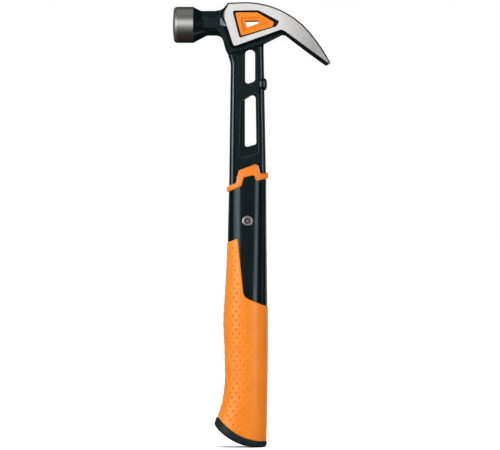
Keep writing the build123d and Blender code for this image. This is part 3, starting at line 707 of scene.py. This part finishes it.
def make_sleeve():
    """The stepped band that shows between shank and shell, and the tube round the tang."""
    upper = rounded_path(BAND_UPPER, [BAND_ROUND] * 4)
    lower = rounded_path(BAND_LOWER, [BAND_ROUND] * 4)
    girth = handle_girth()
    low, high, row, column = BAND_GRID
    distances = np.linspace(0, girth, round(girth / column) + 1)

    def edge_distance(angle, z):
        x, _ = handle_point(angle, z, -BAND_PROUD)
        return np.minimum(below_path(x, z, upper), -below_path(x, z, lower))

    heights = np.arange(low, high, row)
    angle, z, faces = trimmed_grid(angles_at(distances), heights, edge_distance, GRID_SNAP * row, ring=True)
    outer = rounded_lip(edge_distance(angle, z), BAND_LIP) - BAND_PROUD
    band = thick_skin(angle, z, faces, outer, BAND_DEPTH)
    low, high = SLEEVE_HEIGHTS
    rings = [
        rounded_rectangle(SLEEVE_SECTION, low),
        rounded_rectangle(SLEEVE_SECTION, high),
        rounded_rectangle(TANG_SECTION, high),
        rounded_rectangle(TANG_SECTION, low),
    ]
    points, faces = combined(band, ring_solid(rings, tube=True))
    add_piece("stepped_band", points, faces, orange_elastomer, "isolation_sleeve")


def cap_ring(angles, inset, share, lift=0.0):
    """A ring of the end cap at a share of the way from its lower arc to its upper arc, plus a lift."""
    z = np.full_like(angles, CAP_START_Z)
    for _ in range(CAP_PASSES):
        x, y = handle_point(angles, z, inset)
        z = (1 - share) * arc_height(x, CAP_LOWER) + share * arc_height(x, CAP_UPPER) + lift
    return np.stack([x, y, z], -1)


def make_end_cap():
    """The end cap: a lipped rim, a rounded edge below, a crowned sole, and the plug that holds it."""
    angles = angles_at(np.linspace(0, handle_girth(), CAP_COLUMNS + 1)[:-1])
    edge = cap_ring(angles, CAP_ROUND - CAP_PROUD, 0.0)
    middle = edge.mean(axis=0)
    rings = []
    for scale in CAP_SOLE_SCALES:
        ring = middle + scale * (edge - middle)
        ring[:, 2] = arc_height(ring[:, 0], CAP_LOWER)
        rings.append(ring)
    for turn in np.linspace(0, math.pi / 2, CAP_ROUND_STEPS):
        inset = CAP_ROUND * (1 - math.sin(turn)) - CAP_PROUD
        rings.append(cap_ring(angles, inset, 0.0, CAP_ROUND * (1 - math.cos(turn))))
    for share in CAP_WALL_SHARES:
        rings.append(cap_ring(angles, -CAP_PROUD, share))
    for turn in np.linspace(0, math.pi / 2, CAP_LIP_STEPS):
        inset = CAP_LIP * (1 - math.cos(turn)) - CAP_PROUD
        rings.append(cap_ring(angles, inset, 1.0, CAP_LIP * (math.sin(turn) - 1)))
    rings.append(cap_ring(angles, CAP_TOP_INSET, 1.0))
    low, high = PLUG_HEIGHTS
    plug = ring_solid([rounded_rectangle(PLUG_SECTION, low), rounded_rectangle(PLUG_SECTION, high)])
    points, faces = combined(ring_solid(rings), plug)
    add_piece("butt_cap", points, faces, black_rubber, "end_cap")


dress_nodes()
dress_forging()
dress_bolt("bolt_sleeve_nut")
dress_bolt("bolt_screw")
make_grip()
make_shell("shell_half_left", 0, "shell_left")
make_shell("shell_half_right", 1, "shell_right")
make_sleeve()
make_end_cap()


# ---- Studio ---------------------------------------------------------------------------------------------
def make_floor():
    """A large pale disc under the hammer."""
    mesh = bpy.data.meshes.new("floor")
    turns = np.linspace(0, 2 * math.pi, FLOOR_SIDES + 1)[:-1]
    rim = [(FLOOR_RADIUS * math.cos(turn), FLOOR_RADIUS * math.sin(turn), 0) for turn in turns]
    mesh.from_pydata(rim, [], [list(range(FLOOR_SIDES))])
    material, tree, shader, place = new_material("pale_floor", Roughness=0.9, Specular_IOR_Level=0.1)
    tone = ramp(tree, noise(tree, place, 6, detail=2), 0, 1)
    colour = colour_between(tree, tone, (0.90, 0.90, 0.90), (0.88, 0.88, 0.88))
    tree.links.new(colour, shader.inputs["Base Color"])
    mesh.materials.append(material)
    floor = bpy.data.objects.new("floor", mesh)
    bpy.context.scene.collection.objects.link(floor)
    floor.visible_glossy = False


def add_light(name, kind, place, aim, energy, size=None, spread=None):
    """A lamp that points from its place at its aim, and that the camera doesn't see."""
    data = bpy.data.lights.new(name, kind)
    data.energy = energy
    if size is not None:
        data.shape = "RECTANGLE"
        data.size, data.size_y = size
    if spread is not None:
        data.angle = spread
    light = bpy.data.objects.new(name, data)
    bpy.context.scene.collection.objects.link(light)
    light.location = place
    light.rotation_euler = (Vector(aim) - Vector(place)).to_track_quat("-Z", "Y").to_euler()
    light.visible_camera = False
    return light


def around(turn, height):
    """A place round the hammer, by degrees from straight in front and height."""
    angle = math.radians(turn)
    return (LIGHT_DISTANCE * math.sin(angle), -LIGHT_DISTANCE * math.cos(angle), height)


def make_world():
    """White at the horizon and softer grey above; gloss mirrors only the lamps."""
    world = bpy.data.worlds.new("studio")
    world.use_nodes = True
    tree = world.node_tree
    direction = add_node(tree, "ShaderNodeTexCoord").outputs["Generated"]
    height = add_node(tree, "ShaderNodeSeparateXYZ", {"Vector": direction}).outputs["Z"]
    shade = ramp(tree, height, *WORLD_STRENGTH, *WORLD_HEIGHTS)
    tree.links.new(shade, tree.nodes["Background"].inputs["Strength"])
    tree.nodes["Background"].inputs["Color"].default_value = (1, 1, 1, 1)
    bpy.context.scene.world = world
    world.cycles_visibility.glossy = False


def make_camera():
    """A level camera in front of the hammer's left side."""
    data = bpy.data.cameras.new("camera")
    camera = bpy.data.objects.new("camera", data)
    bpy.context.scene.collection.objects.link(camera)
    data.sensor_width = SENSOR_WIDTH
    data.lens = SENSOR_WIDTH * CAMERA_DISTANCE / PICTURE_WIDTH
    data.clip_start, data.clip_end = CAMERA_CLIP
    camera.location = (CAMERA_X, -CAMERA_DISTANCE, CAMERA_HEIGHT)
    camera.rotation_euler = (math.pi / 2, 0, 0)
    bpy.context.scene.camera = camera


def make_lights():
    """A soft sun, a fill from the left, a ceiling, a softbox on each side, strips and two small panels."""
    sun = add_light("overhead", "SUN", SUN_PLACE, (0, 0, 0), SUN_ENERGY, spread=math.radians(SUN_SPREAD))
    sun.visible_glossy = False
    fill = add_light("left_fill", "AREA", around(-80, 0.5), MIDDLE, 34.0, size=(1.5, 1.5))
    fill.visible_glossy = False
    add_light("ceiling", "AREA", (0, 0, CEILING_HEIGHT), MIDDLE, 5.5, size=(3.0, 3.0))
    for side in (-1, 1):
        place = (0, side * LIGHT_DISTANCE, SOFTBOX_HEIGHT)
        add_light("softbox", "AREA", place, MIDDLE, 3.1, size=(1.5, 1.0))
    for turn, energy in STRIPS:
        add_light("strip", "AREA", around(turn, STRIP_HEIGHT), MIDDLE, energy, size=STRIP_SIZE)
    # A small panel for the neck's shoulder, and a low one that gloss sees through the floor from above.
    add_light("shoulder_panel", "AREA", around(-50, 0.45), MIDDLE, 8.0, size=(0.5, 0.35))
    add_light("low_panel", "AREA", around(90, -1.3), MIDDLE, 12.0, size=(0.8, 1.2))


make_floor()
make_world()
make_camera()
bpy.context.scene.view_settings.view_transform = "Standard"
make_lights()
